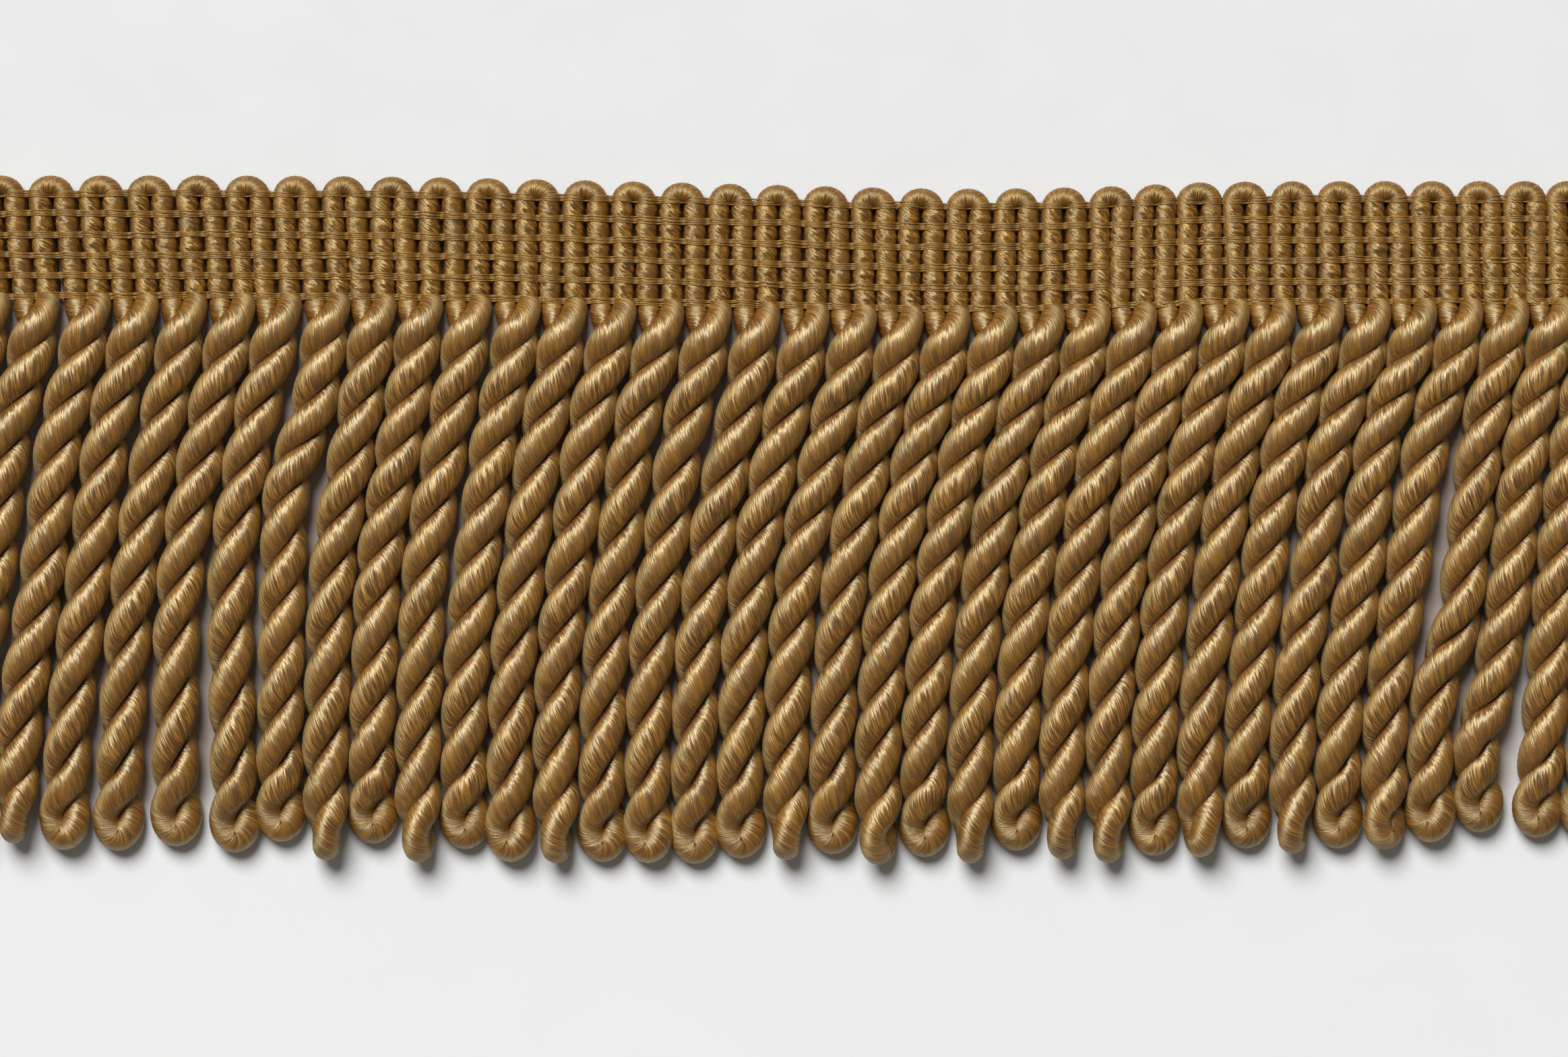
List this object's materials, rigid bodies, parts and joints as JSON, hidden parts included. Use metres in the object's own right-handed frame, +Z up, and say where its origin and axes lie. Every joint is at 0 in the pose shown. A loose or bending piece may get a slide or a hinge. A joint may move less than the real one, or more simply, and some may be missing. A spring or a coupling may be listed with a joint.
{
  "type": "bullion fringe trim",
  "caption": "Cut length of gold bullion fringe lying flat: a ribbed heading with a scalloped top edge, and thick two-ply twisted cords that hang from it and end in closed loops.",
  "frame": {"origin": "under the middle of the trim's bounding box, on the surface it lies on", "axes": "+X along the trim's length, +Y across it towards the scalloped edge of the heading, +Z up, out of the face side"},
  "size_m": [0.2024, 0.0768, 0.0046],
  "materials": {
    "heading_yarn": "satin",
    "bullion_cord": "satin"
  },
  "bodies": {
    "root": {"heading": "heading_yarn", "fringe": "bullion_cord"}
  },
  "joints": []
}
